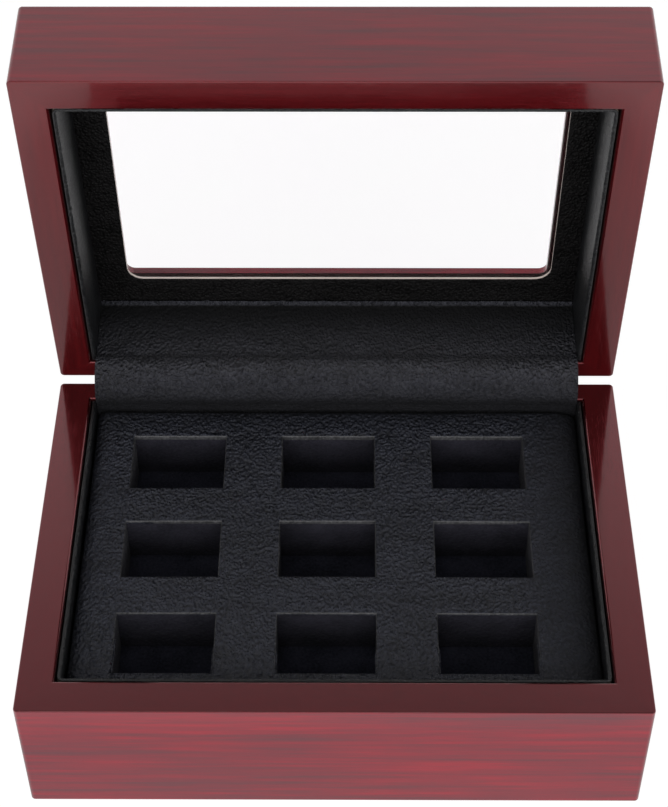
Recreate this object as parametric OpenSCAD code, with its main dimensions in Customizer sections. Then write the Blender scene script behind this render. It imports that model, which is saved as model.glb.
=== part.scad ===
// Ring display box: a lacquered wooden base with a slotted cushion, and a lid with a glass
// window that stands open on two stop hinges behind a leatherette flap.
// Millimetres, +Z up. The origin is the centre of the underside and the front faces -Y.

/* [Box] */
// Outside width, left to right
box_w = 210; // [195:5:260]
// Outside depth, front to back
box_d = 150; // [145:5:200]
// Height of the base walls
base_h = 53; // [50:1:70]
// Height of the lid, rim to top
lid_h = 37; // [34:1:50]
// Thickness of the front and side walls
wall_t = 12.3; // [10:0.1:14]
// Thickness of the two back walls
back_wall_t = 8; // [7.5:0.5:12]
// Radius of the upright outer corners
corner_r = 1.5; // [0.5:0.1:3]

/* [Lid] */
// Angle at which the hinges hold the lid open
open_angle = 84; // [75:1:90]
// Gap between the two rims when the box is shut
rim_gap = 0.3; // [0.2:0.05:0.6]
// Thickness of the lid's top panel
top_t = 8; // [6:0.5:10]
// Width of the wood left beside the window, at the left and right
window_side_border = 25; // [22:0.5:27]
// Width of the wood left before and behind the window
window_end_border = 21.4; // [20:0.2:27]
// Radius of the window's corners in the wood
window_r = 3; // [1:0.5:8]
// Thickness of the glass
glass_t = 2; // [1.5:0.1:3]
// How far the glass reaches past the window under the wood
glass_lap = 3; // [2:0.5:5]
// Thickness of the mat's card
mat_card_t = 0.9; // [0.6:0.1:1.5]
// Width of the mat's border, from the box's outer faces to the mat's opening
mat_border = 25; // [23:0.5:28]
// How far the mat's opening lies to the right of the middle
mat_shift_x = 0.9; // [-1.5:0.1:1.5]
// How far the mat's opening lies behind the middle
mat_shift_y = 1.1; // [-1.5:0.1:1.5]
// Radius of the mat's corners
mat_r = 6; // [3:0.5:10]

/* [Panels] */
// Thickness of the floor panel
floor_t = 5; // [3:0.5:6]
// How far the floor and top panels are let into the walls
rebate = 4; // [2:0.5:5]
// Play round a panel in its rebate
panel_play = 0.1; // [0.05:0.05:0.3]
// Thickness of the felt on the underside
felt_t = 0.8; // [0.5:0.1:2]
// How far the felt stands in from the outer faces
felt_inset = 4; // [2:0.5:10]

/* [Lining] */
// Thickness of the lining's card
liner_card_t = 0.9; // [0.6:0.1:2]
// Thickness of the leatherette on card and cushion
leather_t = 0.5; // [0.4:0.1:1]
// Gap between the lining and the wood
liner_gap = 0.6; // [0.2:0.05:1]
// How far the lining's edge lies below the rim
liner_drop = 0.8; // [0.4:0.1:2]
// Radius of the lining's two front corners
liner_r = 2.8; // [2.5:0.1:5]

/* [Cushion] */
// How far the cushion's top lies below the rim
cushion_drop = 4.8; // [3:0.1:8]
// Gap between the cushion and the lining on the left
cushion_gap_left = 1.7; // [0.5:0.1:5]
// Gap between the cushion and the lining on the right
cushion_gap_right = 2.5; // [0.5:0.1:5]
// Gap between the cushion and the lining at the front
cushion_gap_front = 0.5; // [0.3:0.1:3]
// Gap between the cushion and the back wall, which the flap goes down
cushion_gap_back = 3.4; // [2.5:0.1:7]
// Chamfer round the cushion's upper edges
cushion_edge = 2; // [0.5:0.1:4]
// Slots across
slot_columns = 3; // [1:1:3]
// Slots front to back
slot_rows = 3; // [1:1:3]
// Width of a slot
slot_w = 34; // [25:0.5:40]
// Length of a slot, front to back
slot_d = 25; // [15:0.5:28]
// Depth of a slot
slot_depth = 20; // [10:0.5:25]
// Width of the cushion left of the first column
slot_left_margin = 13.9; // [4:0.1:16]
// Width of the cushion right of the last column
slot_right_margin = 18.9; // [4:0.1:20]
// Width of the cushion left in front of the first row
slot_front_margin = 4.6; // [3:0.1:10]
// Width of the cushion left behind the last row
slot_back_margin = 12; // [3:0.1:14]
// Thickness of the flocked card under the slots
slot_card_t = 1.5; // [1:0.1:3]
// Gap round the foam block that lifts the cushion
riser_gap = 1; // [0.3:0.1:4]

/* [Flap] */
// Thickness of the flap over the hinges
flap_t = 1; // [0.6:0.1:1.5]
// Gap between the flap's ends and the lining
flap_side_gap = 0.2; // [0.1:0.1:3]
// Gap between the flap and the wood that it lies on
flap_gap = 0.3; // [0.15:0.05:0.6]
// How far the flap stands off the lid's back wall at the mat
flap_stand_off = 4.4; // [1.5:0.1:6]
// How strongly the flap bows out over the two rims
flap_bow = 6; // [4:0.5:10]
// How far the flap reaches down behind the cushion
flap_tail = 14; // [8:1:25]

/* [Hinges] */
// Distance from the middle of the box to a hinge's middle
hinge_x = 52; // [30:1:65]
// Length of a hinge
hinge_l = 25; // [20:1:36]
// Distance of the hinge axis behind the back faces
hinge_set_back = 2; // [1.9:0.1:3]
// Outside radius of the knuckles
knuckle_r = 1.9; // [1.7:0.05:1.9]
// Radius of the hinge pins
pin_r = 0.8; // [0.6:0.05:0.9]
// Running clearance of a pin in its bore
pin_play = 0.05; // [0.02:0.01:0.08]
// Gap between neighbouring knuckles
knuckle_gap = 0.2; // [0.1:0.05:0.4]
// Thickness of the leaves
leaf_t = 1; // [0.8:0.1:1.2]
// Wood left between a leaf and the inner face of its wall
leaf_shoulder = 1.6; // [1:0.1:3]
// Play round a leaf in its mortise
mortise_play = 0.1; // [0.05:0.05:0.3]
// How far the stop reaches below the hinge axis
stop_reach = 4.6; // [3:0.1:6]
// Thickness of the stop's two faces
stop_t = 1; // [0.8:0.1:1.2]
// Gap at the stop when the lid stands open
stop_gap = 0.03; // [0.02:0.01:0.05]
// Radius of a screw's shank
screw_r = 0.95; // [0.8:0.05:1.1]
// Radius of a screw's head
screw_head_r = 1.9; // [1.6:0.1:2.2]
// Length of a screw
screw_l = 9; // [6:0.5:14]
// Distance between the two screws of a leaf
screw_spacing = 15; // [10:0.5:20]
// Play of a screw in the leaf and in the wood
screw_play = 0.05; // [0.02:0.01:0.1]

/* [Hidden] */
$fn = 48;

eps = 0.01;
cut = 1;

// Plan of the walls
half_w = box_w / 2;
half_d = box_d / 2;
inner_x = half_w - wall_t;
inner_front = -half_d + wall_t;
inner_back = half_d - back_wall_t;
inner_d = inner_back - inner_front;
inner_mid_y = (inner_back + inner_front) / 2;

// Heights, with the lid shut
base_z = felt_t;
floor_top = base_z + floor_t;
rim_z = base_z + base_h;
lid_rim_z = rim_z + rim_gap;
lid_top_z = lid_rim_z + lid_h;
panel_under_z = lid_top_z - top_t;
mat_face_z = panel_under_z - mat_card_t - leather_t;

// Hinge axis
hinge_y = half_d + hinge_set_back;
hinge_z = rim_z + rim_gap / 2;

// Lining
liner_t = liner_card_t + leather_t;
liner_inner_x = inner_x - liner_gap - liner_t;
liner_inner_front = inner_front + liner_gap + liner_t;

// Cushion
cushion_x0 = -liner_inner_x + cushion_gap_left;
cushion_x1 = liner_inner_x - cushion_gap_right;
cushion_y0 = liner_inner_front + cushion_gap_front;
cushion_y1 = inner_back - cushion_gap_back;
cushion_top = rim_z - cushion_drop;
slot_floor_z = cushion_top - slot_depth;
slot_card_z = slot_floor_z - slot_card_t;

// Centres of n slots that fill the way from low to high
function slot_centres(n, size, low, high) = n == 1 ? [(low + high) / 2]
    : [for (i = [0:n - 1]) low + size / 2 + i * (high - low - size) / (n - 1)];
slot_x = slot_centres(slot_columns, slot_w, cushion_x0 + slot_left_margin, cushion_x1 - slot_right_margin);
slot_y = slot_centres(slot_rows, slot_d, cushion_y0 + slot_front_margin, cushion_y1 - slot_back_margin);

// Window, with the glass loose in a pocket under the wood
window_w = box_w - 2 * window_side_border;
window_d = box_d - 2 * window_end_border;
glass_room = 0.2;
glass_play = 0.3;
glass_pocket = glass_t + glass_room;

// Hinges
knuckle_l = (hinge_l - 2 * knuckle_gap) / 3;
knuckle_pitch = knuckle_l + knuckle_gap;
bore_r = pin_r + pin_play;
plate_gap = 0.2;
leaf_front = inner_back + leaf_shoulder;
leaf_back = hinge_y - knuckle_r - plate_gap;
screw_y = (leaf_front + half_d) / 2;
screw_head_h = leaf_t - screw_play;
screw_seat_play = 2 * screw_play;
screw_tip_l = 1.5;
screw_tip_r = 0.15;
screw_recess = [2.2, 0.45, 0.5];
pilot_spare = 0.5;
pin_end_gap = 0.1;
pin_head_lip = 0.4;
pin_head_t = 0.4;

// Colours
wood_red = [0.42, 0.09, 0.11];
card_grey = [0.55, 0.5, 0.44];
leather_black = [0.11, 0.12, 0.14];
foam_black = [0.08, 0.08, 0.09];
brass_gold = [0.75, 0.6, 0.3];

// ---- Shared shapes ----

module rounded_rect(w, d, r) {
    square([w - 2 * r, d], center = true);
    square([w, d - 2 * r], center = true);
    for (x = [-1, 1], y = [-1, 1]) translate([x * (w / 2 - r), y * (d / 2 - r)]) circle(r);
}

// A block from one corner to the opposite one
module block(low, high) {
    translate(low) cube(high - low);
}

// Turns the shut lid to where it stands open
module open_lid() {
    translate([0, hinge_y, hinge_z]) rotate([-open_angle, 0, 0])
        translate([0, -hinge_y, -hinge_z]) children();
}

// Plan corners of the walls, outside and inside, anticlockwise from the front left
outer_corners = [[-half_w, -half_d], [half_w, -half_d], [half_w, half_d], [-half_w, half_d]];
inner_corners = [
    [-inner_x, inner_front], [inner_x, inner_front], [inner_x, inner_back], [-inner_x, inner_back],
];

// One mitred wall between corner i and the next, with its two upright outer corners rounded
module wall(i, low_z, high_z) {
    j = (i + 1) % 4;
    translate([0, 0, low_z]) linear_extrude(high_z - low_z) intersection() {
        polygon([outer_corners[i], outer_corners[j], inner_corners[j], inner_corners[i]]);
        rounded_rect(box_w, box_d, corner_r);
    }
}

// The room for a panel that is let into the walls
module panel_room(low_z, high_z) {
    block([-inner_x - rebate, inner_front - rebate, low_z], [inner_x + rebate, inner_back + rebate, high_z]);
}

module panel(low_z, high_z) {
    p = rebate - panel_play;
    block([-inner_x - p, inner_front - p, low_z], [inner_x + p, inner_back + p, high_z]);
}

module base_wall(i) {
    color(wood_red) difference() {
        wall(i, base_z, rim_z);
        panel_room(base_z - cut, floor_top);
        children();
    }
}

module lid_wall(i) {
    color(wood_red) open_lid() difference() {
        wall(i, lid_rim_z, lid_top_z);
        panel_room(panel_under_z, lid_top_z + cut);
        children();
    }
}

// ---- Base walls, floor and felt ----

module base_front_wall() base_wall(0);
module base_right_wall() base_wall(1);
module base_left_wall() base_wall(3);

module base_back_wall() {
    base_wall(2) {
        for (side = [-1, 1]) translate([side * hinge_x, 0, 0]) {
            block([-hinge_l / 2 - mortise_play, leaf_front - mortise_play, rim_z - leaf_t],
                [hinge_l / 2 + mortise_play, half_d + cut, rim_z + cut]);
            block([-knuckle_l / 2 - mortise_play, half_d - stop_t, hinge_z - stop_reach - mortise_play],
                [knuckle_l / 2 + mortise_play, half_d + cut, rim_z + cut]);
            leaf_screws() translate([0, 0, rim_z]) pilot_hole();
        }
    }
}

module base_floor_panel() color([0.3, 0.22, 0.18]) panel(base_z, floor_top);

module underside_felt() {
    color([0.07, 0.07, 0.08]) block([-half_w + felt_inset, -half_d + felt_inset, 0],
        [half_w - felt_inset, half_d - felt_inset, felt_t]);
}

// ---- Lining ----

// A U-shaped band round the front and sides, from one distance off the wood to another
module lining_band(off0, off1, low_z, high_z) {
    back = inner_back - liner_gap;
    translate([0, 0, low_z]) linear_extrude(high_z - low_z) intersection() {
        difference() {
            translate([0, inner_mid_y]) rounded_rect(2 * (inner_x - off0), inner_d - 2 * off0, liner_r - off0);
            translate([0, inner_mid_y + cut])
                rounded_rect(2 * (inner_x - off1), inner_d - 2 * off1 + 2 * cut, liner_r - off1);
        }
        translate([-half_w, -half_d]) square([box_w, back - liner_r + half_d]);
    }
    for (side = [-1, 1]) {
        x0 = side * (inner_x - (off0 + off1) / 2);
        translate([x0 - (off1 - off0) / 2, back - liner_r - eps, low_z])
            cube([off1 - off0, liner_r + eps, high_z - low_z]);
    }
}

module liner_card(low_z, high_z) {
    color(card_grey) lining_band(liner_gap, liner_gap + liner_card_t, low_z, high_z);
}

// The leatherette covers the card's inner face and folds over the edge at the rim
module liner_leather(low_z, high_z, fold_z) {
    color(leather_black) {
        lining_band(liner_gap + liner_card_t, liner_gap + liner_t, low_z, high_z);
        lining_band(liner_gap, liner_gap + liner_card_t + eps, fold_z, fold_z + leather_t);
    }
}

liner_top = rim_z - liner_drop;
lid_liner_edge = lid_rim_z + liner_drop;

module base_liner_card() liner_card(floor_top, liner_top - leather_t);
module base_liner_leather() liner_leather(floor_top, liner_top, liner_top - leather_t);
module lid_liner_card() open_lid() liner_card(lid_liner_edge + leather_t, mat_face_z);
module lid_liner_leather() open_lid() liner_leather(lid_liner_edge, mat_face_z, lid_liner_edge);

// ---- Cushion ----

module riser_foam() {
    color([0.2, 0.2, 0.22]) block([-liner_inner_x + riser_gap, liner_inner_front + riser_gap, floor_top],
        [liner_inner_x - riser_gap, cushion_y1, slot_card_z]);
}

module slot_floor_card() {
    color(foam_black) block([cushion_x0 + leather_t, cushion_y0 + leather_t, slot_card_z],
        [cushion_x1 - leather_t, cushion_y1 - leather_t, slot_floor_z]);
}

// The cushion's outline seen from one side: a rectangle with its two upper corners cut off
module cushion_profile(a0, a1, low_z, high_z) {
    c = cushion_edge;
    polygon([[a0, low_z], [a1, low_z], [a1, high_z - c], [a1 - c, high_z], [a0 + c, high_z], [a0, high_z - c]]);
}

module cushion_body(inset, low_z) {
    top = cushion_top - inset;
    intersection() {
        translate([0, cushion_y1 - inset, 0]) rotate([90, 0, 0])
            linear_extrude(cushion_y1 - cushion_y0 - 2 * inset)
                cushion_profile(cushion_x0 + inset, cushion_x1 - inset, low_z, top);
        translate([cushion_x0 + inset, 0, 0]) rotate([90, 0, 90])
            linear_extrude(cushion_x1 - cushion_x0 - 2 * inset)
                cushion_profile(cushion_y0 + inset, cushion_y1 - inset, low_z, top);
    }
}

module slots() {
    for (x = slot_x, y = slot_y) translate([x, y, slot_floor_z + slot_depth / 2])
        cube([slot_w, slot_d, slot_depth + 2 * cut], center = true);
}

module cushion_foam() {
    color(foam_black) difference() {
        cushion_body(leather_t, slot_floor_z);
        slots();
    }
}

module cushion_leather() {
    color(leather_black) difference() {
        cushion_body(0, slot_card_z);
        cushion_body(leather_t, slot_card_z - cut);
        slots();
    }
}

// ---- Flap ----

// Where a point of the shut lid lies when the lid stands open, as [y, z]
function opened(y, z) = let (dy = y - hinge_y, dz = z - hinge_z) [
    hinge_y + dy * cos(open_angle) + dz * sin(open_angle),
    hinge_z - dy * sin(open_angle) + dz * cos(open_angle),
];
function bezier(p, t) = let (s = 1 - t)
    s * s * s * p[0] + 3 * s * s * t * p[1] + 3 * s * t * t * p[2] + t * t * t * p[3];
function bezier_way(p, t) = let (s = 1 - t)
    s * s * (p[1] - p[0]) + 2 * s * t * (p[2] - p[1]) + t * t * (p[3] - p[2]);
function beside(p, way, off) = p + off * [-way[1], way[0]] / norm(way);

flap_steps = 16;
flap_y = inner_back - flap_gap - flap_t / 2;
flap_turn = 1.5;
flap_lid_end = opened(flap_y, lid_rim_z + flap_turn);
flap_start = mat_face_z - flap_gap;
flap_in_lid = [
    opened(inner_back - flap_stand_off, flap_start),
    opened(inner_back - flap_stand_off * 0.7, lid_rim_z + (flap_start - lid_rim_z) * 0.65),
    opened(flap_y, lid_rim_z + (flap_start - lid_rim_z) * 0.35),
    flap_lid_end,
];
flap_base_end = [flap_y, rim_z - flap_turn];
flap_over_rims = [
    flap_lid_end,
    flap_lid_end - flap_bow * [sin(open_angle), cos(open_angle)],
    flap_base_end + [0, flap_bow],
    flap_base_end,
];

function flap_side(off) = concat(
    [for (i = [0:flap_steps - 1]) let (t = i / flap_steps)
        beside(bezier(flap_in_lid, t), bezier_way(flap_in_lid, t), off)],
    [for (i = [0:flap_steps]) let (t = i / flap_steps)
        beside(bezier(flap_over_rims, t), bezier_way(flap_over_rims, t), off)],
    [flap_base_end + [off, -flap_tail]]
);

module hinge_flap() {
    near = flap_side(flap_t / 2);
    far = flap_side(-flap_t / 2);
    flap_w = 2 * (liner_inner_x - flap_side_gap);
    color(leather_black) translate([-flap_w / 2, 0, 0]) rotate([90, 0, 90]) linear_extrude(flap_w)
        polygon(concat(near, [for (i = [len(far) - 1:-1:0]) far[i]]));
}

// ---- Hinges, drawn with the box shut ----

module leaf_screws() {
    for (side = [-1, 1]) translate([side * screw_spacing / 2, screw_y, 0]) children();
}

module pilot_hole() {
    depth = screw_l + pilot_spare;
    translate([0, 0, -depth]) cylinder(r = screw_r + screw_play, h = depth + eps);
}

module screw_hole() {
    translate([0, 0, -leaf_t - cut]) cylinder(r = screw_r + screw_play, h = leaf_t + 2 * cut);
    translate([0, 0, -screw_head_h - screw_play]) cylinder(r1 = screw_r + screw_play,
        r2 = screw_head_r + screw_seat_play, h = screw_head_h + 2 * screw_play);
}

// A countersunk cross-head screw with its head's face at z = 0
module screw() {
    difference() {
        union() {
            translate([0, 0, -screw_head_h])
                cylinder(r1 = screw_r, r2 = screw_head_r, h = screw_head_h - screw_play);
            translate([0, 0, -screw_l + screw_tip_l])
                cylinder(r = screw_r, h = screw_l - screw_tip_l - screw_head_h + eps);
            translate([0, 0, -screw_l]) cylinder(r1 = screw_tip_r, r2 = screw_r, h = screw_tip_l + eps);
        }
        for (turn = [0, 90]) rotate([0, 0, turn]) translate([0, 0, -screw_play])
            cube([screw_recess[0], screw_recess[1], 2 * screw_recess[2]], center = true);
    }
}

module knuckle(i) {
    translate([i * knuckle_pitch - knuckle_l / 2, hinge_y, hinge_z]) rotate([0, 90, 0])
        cylinder(r = knuckle_r, h = knuckle_l);
}

module bore() {
    translate([-hinge_l, hinge_y, hinge_z]) rotate([0, 90, 0]) cylinder(r = bore_r, h = 2 * hinge_l);
}

// A leaf's plate, and its arm out to knuckle i
module leaf_plate(low_z) {
    block([-hinge_l / 2, leaf_front, low_z], [hinge_l / 2, leaf_back, low_z + leaf_t]);
}

module leaf_arm(i, low_z) {
    block([i * knuckle_pitch - knuckle_l / 2, leaf_back - eps, low_z],
        [i * knuckle_pitch + knuckle_l / 2, hinge_y, low_z + leaf_t]);
    knuckle(i);
}

module base_leaf(side) {
    low_z = rim_z - leaf_t;
    color(brass_gold) translate([side * hinge_x, 0, 0]) difference() {
        union() {
            leaf_plate(low_z);
            for (i = [-1, 1]) leaf_arm(i, low_z);
            block([-knuckle_l / 2, half_d - stop_t, hinge_z - stop_reach], [knuckle_l / 2, half_d, rim_z]);
        }
        bore();
        leaf_screws() translate([0, 0, rim_z]) screw_hole();
    }
}

// The lug meets the base leaf's drop tab when the lid stands open
module stop_lug() {
    w = knuckle_l - 2 * mortise_play;
    translate([0, hinge_y, hinge_z]) rotate([open_angle, 0, 0]) translate([0, -hinge_y, -hinge_z])
        block([-w / 2, half_d + stop_gap, hinge_z - stop_reach + mortise_play],
            [w / 2, half_d + stop_gap + stop_t, hinge_z]);
}

module lid_leaf(side) {
    color(brass_gold) open_lid() translate([side * hinge_x, 0, 0]) difference() {
        union() {
            leaf_plate(lid_rim_z);
            leaf_arm(0, lid_rim_z);
            stop_lug();
        }
        bore();
        leaf_screws() translate([0, 0, lid_rim_z]) mirror([0, 0, 1]) screw_hole();
    }
}

module hinge_pin(side) {
    end = hinge_l / 2 + pin_end_gap;
    color(brass_gold) translate([side * hinge_x, hinge_y, hinge_z]) rotate([0, 90, 0]) {
        translate([0, 0, -end - eps]) cylinder(r = pin_r, h = 2 * (end + eps));
        for (z = [-end - pin_head_t, end]) translate([0, 0, z])
            cylinder(r = pin_r + pin_head_lip, h = pin_head_t);
    }
}

module left_hinge_base_leaf() base_leaf(-1);
module right_hinge_base_leaf() base_leaf(1);
module left_hinge_lid_leaf() lid_leaf(-1);
module right_hinge_lid_leaf() lid_leaf(1);
module left_hinge_pin() hinge_pin(-1);
module right_hinge_pin() hinge_pin(1);

module hinge_base_screws() {
    color(brass_gold) for (side = [-1, 1]) translate([side * hinge_x, 0, rim_z]) leaf_screws() screw();
}

module hinge_lid_screws() {
    color(brass_gold) open_lid() for (side = [-1, 1]) translate([side * hinge_x, 0, lid_rim_z])
        leaf_screws() mirror([0, 0, 1]) screw();
}

// ---- Lid ----

module lid_front_wall() lid_wall(0);
module lid_right_wall() lid_wall(1);
module lid_left_wall() lid_wall(3);

module lid_back_wall() {
    lid_wall(2) {
        for (side = [-1, 1]) translate([side * hinge_x, 0, lid_rim_z]) {
            block([-hinge_l / 2 - mortise_play, leaf_front - mortise_play, -cut],
                [hinge_l / 2 + mortise_play, half_d + cut, leaf_t]);
            leaf_screws() mirror([0, 0, 1]) pilot_hole();
        }
    }
}

module window(extra, r, low_z, high_z) {
    translate([0, 0, low_z]) linear_extrude(high_z - low_z)
        rounded_rect(window_w + 2 * extra, window_d + 2 * extra, r);
}

module lid_top_panel() {
    color(wood_red) open_lid() difference() {
        panel(panel_under_z, lid_top_z);
        window(0, window_r, panel_under_z - cut, lid_top_z + cut);
        window(glass_lap, window_r, panel_under_z - cut, panel_under_z + glass_pocket);
    }
}

module glass_pane() {
    color([0.85, 0.9, 0.92, 0.3]) open_lid() window(glass_lap - glass_play, window_r,
        panel_under_z + glass_room, panel_under_z + glass_pocket);
}

// A sheet that fills the lid's inside and is cut out at the window
module mat_sheet(low_z, high_z) {
    p = panel_play;
    open_lid() difference() {
        block([-inner_x + p, inner_front + p, low_z], [inner_x - p, inner_back - p, high_z]);
        translate([mat_shift_x, mat_shift_y, low_z - cut]) linear_extrude(high_z - low_z + 2 * cut)
            rounded_rect(box_w - 2 * mat_border, box_d - 2 * mat_border, mat_r);
    }
}

module window_mat_card() color([0.9, 0.86, 0.76]) mat_sheet(panel_under_z - mat_card_t, panel_under_z);
module window_mat_leather() color(leather_black) mat_sheet(mat_face_z, panel_under_z - mat_card_t);

base_front_wall();
base_back_wall();
base_left_wall();
base_right_wall();
base_floor_panel();
underside_felt();
base_liner_card();
base_liner_leather();
riser_foam();
slot_floor_card();
cushion_foam();
cushion_leather();
left_hinge_base_leaf();
right_hinge_base_leaf();
left_hinge_pin();
right_hinge_pin();
hinge_base_screws();
hinge_flap();
lid_front_wall();
lid_back_wall();
lid_left_wall();
lid_right_wall();
lid_top_panel();
glass_pane();
window_mat_card();
window_mat_leather();
lid_liner_card();
lid_liner_leather();
left_hinge_lid_leaf();
right_hinge_lid_leaf();
hinge_lid_screws();
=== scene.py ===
"""Looks of the ring display box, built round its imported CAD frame.

Lengths are millimetres until a mesh is made. The lid's own pieces are drawn with the box shut,
and their objects are then turned to where the lid stands open.
"""

import math

import bmesh
import bpy
from mathutils import Matrix, Vector, noise


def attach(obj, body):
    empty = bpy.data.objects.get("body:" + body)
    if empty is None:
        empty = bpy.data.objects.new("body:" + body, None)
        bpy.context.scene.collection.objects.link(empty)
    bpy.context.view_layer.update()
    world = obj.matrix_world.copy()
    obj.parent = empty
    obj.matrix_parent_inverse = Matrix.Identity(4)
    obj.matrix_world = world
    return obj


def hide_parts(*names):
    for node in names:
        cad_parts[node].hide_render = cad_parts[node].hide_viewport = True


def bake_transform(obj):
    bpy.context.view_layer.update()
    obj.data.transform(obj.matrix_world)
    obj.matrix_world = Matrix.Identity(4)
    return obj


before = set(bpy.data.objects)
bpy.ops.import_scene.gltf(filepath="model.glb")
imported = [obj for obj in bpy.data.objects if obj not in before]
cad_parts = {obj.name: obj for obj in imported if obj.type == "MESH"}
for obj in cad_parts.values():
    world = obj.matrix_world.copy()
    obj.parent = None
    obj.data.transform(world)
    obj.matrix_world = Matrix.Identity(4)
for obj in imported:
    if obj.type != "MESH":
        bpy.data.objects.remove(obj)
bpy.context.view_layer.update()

MM = 0.001

# ---- Sizes, as in the CAD model ----

HALF_W, HALF_D = 105.0, 75.0
WALL_T, BACK_WALL_T = 12.3, 8.0
INNER_X = HALF_W - WALL_T
INNER_FRONT, INNER_BACK = -HALF_D + WALL_T, HALF_D - BACK_WALL_T
INNER_MID_Y, INNER_HALF_D = (INNER_FRONT + INNER_BACK) / 2, (INNER_BACK - INNER_FRONT) / 2
CORNER_R = 1.5
OPEN_ANGLE = 84.0

BASE_Z, FLOOR_TOP, RIM_Z = 0.8, 5.8, 53.8
LID_RIM_Z, LID_TOP_Z = 54.1, 91.1
PANEL_UNDER_Z, MAT_FACE_Z, MAT_BACK_Z = 83.1, 81.7, 82.2
REBATE, PANEL_PLAY = 4.0, 0.1
HINGE_Y, HINGE_Z = 77.0, 53.95

WINDOW_HALF, WINDOW_R = (80.0, 53.6), 3.0
GLASS_LAP, GLASS_POCKET = 3.0, 2.2
MAT_MIDDLE, MAT_HALF, MAT_R = (0.9, 1.1), (80.0, 50.0), 6.0

LINER_GAP, LINER_CARD_T, LEATHER_T, LINER_R = 0.6, 0.9, 0.5, 2.8
LINER_TOP, LID_LINER_EDGE = 53.0, 54.9
LINER_INNER_X = INNER_X - LINER_GAP - LINER_CARD_T - LEATHER_T
LINER_INNER_FRONT = INNER_FRONT + LINER_GAP + LINER_CARD_T + LEATHER_T
RISER_GAP, FELT_INSET = 1.0, 4.0

CUSHION_X, CUSHION_Y, CUSHION_TOP = (-89.0, 88.2), (-60.2, 63.6), 49.0
SLOT_FLOOR_Z, SLOT_CARD_Z = 29.0, 27.5
SLOT_X, SLOT_Y, SLOT_SIZE = (-58.1, -2.9, 52.3), (-43.1, -2.0, 39.1), (34.0, 25.0)

HINGE_X, HINGE_L, KNUCKLE_L, LEAF_T = 52.0, 25.0, 8.2, 1.0
LEAF_FRONT, MORTISE_PLAY, STOP_T, STOP_REACH = 68.6, 0.1, 1.0, 4.6
PILOT_R, PILOT_DEPTH, SCREW_Y, SCREW_SIDE = 1.0, 9.5, 71.8, 7.5

FLAP_T, FLAP_GAP, FLAP_BOW, FLAP_TAIL, FLAP_TURN, FLAP_STEP = 1.0, 0.3, 7.0, 14.0, 1.5, 0.4
FLAP_HALF_W, SEAM_LIFT, SEAM_BEAD = LINER_INNER_X - 0.2, 1.3, 0.25

HINGE = Matrix.Translation((0, HINGE_Y * MM, HINGE_Z * MM))
OPEN_LID = HINGE @ Matrix.Rotation(-math.radians(OPEN_ANGLE), 4, "X") @ HINGE.inverted()


# ---- Mesh tools ----

# The mesh attribute that carries painted shade for leatherette, from 0 to 1.
SHADE_ATTRIBUTE = "painted_shade"
WELD = 1e-7


def add_object(name, data):
    obj = bpy.data.objects.new(name, data)
    bpy.context.scene.collection.objects.link(obj)
    return obj


def new_mesh(name, points, faces, shade_values=None):
    """A mesh of points in millimetres. The last argument holds a value for each point, from 0 to 1,
    of the shade painted into leatherette's colour there."""
    mesh = bpy.data.meshes.new(name)
    mesh.from_pydata([[c * MM for c in p] for p in points], [], faces)
    if shade_values:
        mesh.attributes.new(SHADE_ATTRIBUTE, "FLOAT", "POINT").data.foreach_set("value", shade_values)
    bm = bmesh.new()
    bm.from_mesh(mesh)
    bmesh.ops.remove_doubles(bm, verts=bm.verts, dist=WELD)
    bmesh.ops.recalc_face_normals(bm, faces=bm.faces)
    bm.to_mesh(mesh)
    bm.free()
    return mesh


def add_piece(name, points, faces, materials, body, replaced, sharp=35.0, shade_values=None):
    """A mesh object that rides on a body and stands for CAD nodes. The lid's pieces are turned open."""
    obj = add_object(name, new_mesh(name, points, faces, shade_values))
    for material in materials:
        obj.data.materials.append(material)
    soften(obj.data, sharp)
    if body == "lid":
        obj.matrix_world = OPEN_LID
    if body:
        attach(obj, body)
    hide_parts(*replaced)
    return obj


def soften(mesh, sharp):
    """Smooth shading, with creases where faces meet at more than sharp degrees."""
    mesh.polygons.foreach_set("use_smooth", [True] * len(mesh.polygons))
    mesh.set_sharp_from_angle(angle=math.radians(sharp))


def loft(loops, ends):
    """Quads between successive closed loops of equal length. The ends are "joined", "capped" or "open"."""
    count, steps = len(loops[0]), len(loops)
    points = [p for loop in loops for p in loop]
    faces = []
    for k in range(steps if ends == "joined" else steps - 1):
        a, b = k * count, (k + 1) % steps * count
        for i in range(count):
            j = (i + 1) % count
            faces.append((a + i, a + j, b + j, b + i))
    if ends == "capped":
        faces += [tuple(range(count)), tuple(range(len(points) - count, len(points)))]
    return points, faces


def between(a, b, share):
    return a[0] + (b[0] - a[0]) * share, a[1] + (b[1] - a[1]) * share


def rounded_loop(middle, half, radius, corner_steps=8, side_steps=24):
    """Points round a rectangle with rounded corners, anticlockwise."""
    arcs = []
    for quarter, (sx, sy) in enumerate([(1, 1), (-1, 1), (-1, -1), (1, -1)]):
        cx, cy = middle[0] + sx * (half[0] - radius), middle[1] + sy * (half[1] - radius)
        turns = [math.radians(90 * (quarter + k / corner_steps)) for k in range(corner_steps + 1)]
        arcs.append([(cx + radius * math.cos(a), cy + radius * math.sin(a)) for a in turns])
    out = []
    for arc, following in zip(arcs, arcs[1:] + arcs[:1]):
        out += arc + [between(arc[-1], following[0], k / side_steps) for k in range(1, side_steps)]
    return out


def at_height(loop, z):
    return [(x, y, z) for x, y in loop]


def wave(x, y, z, size, seed=0.0):
    """Smooth noise from about -1 to 1 whose swells are about size millimetres across."""
    return noise.noise(Vector((x / size + seed, y / size - seed, z / size + 0.37 * seed)))


def apply_modifiers(obj):
    bpy.context.view_layer.update()
    mesh = bpy.data.meshes.new_from_object(obj.evaluated_get(bpy.context.evaluated_depsgraph_get()))
    obj.modifiers.clear()
    obj.data = mesh


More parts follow.
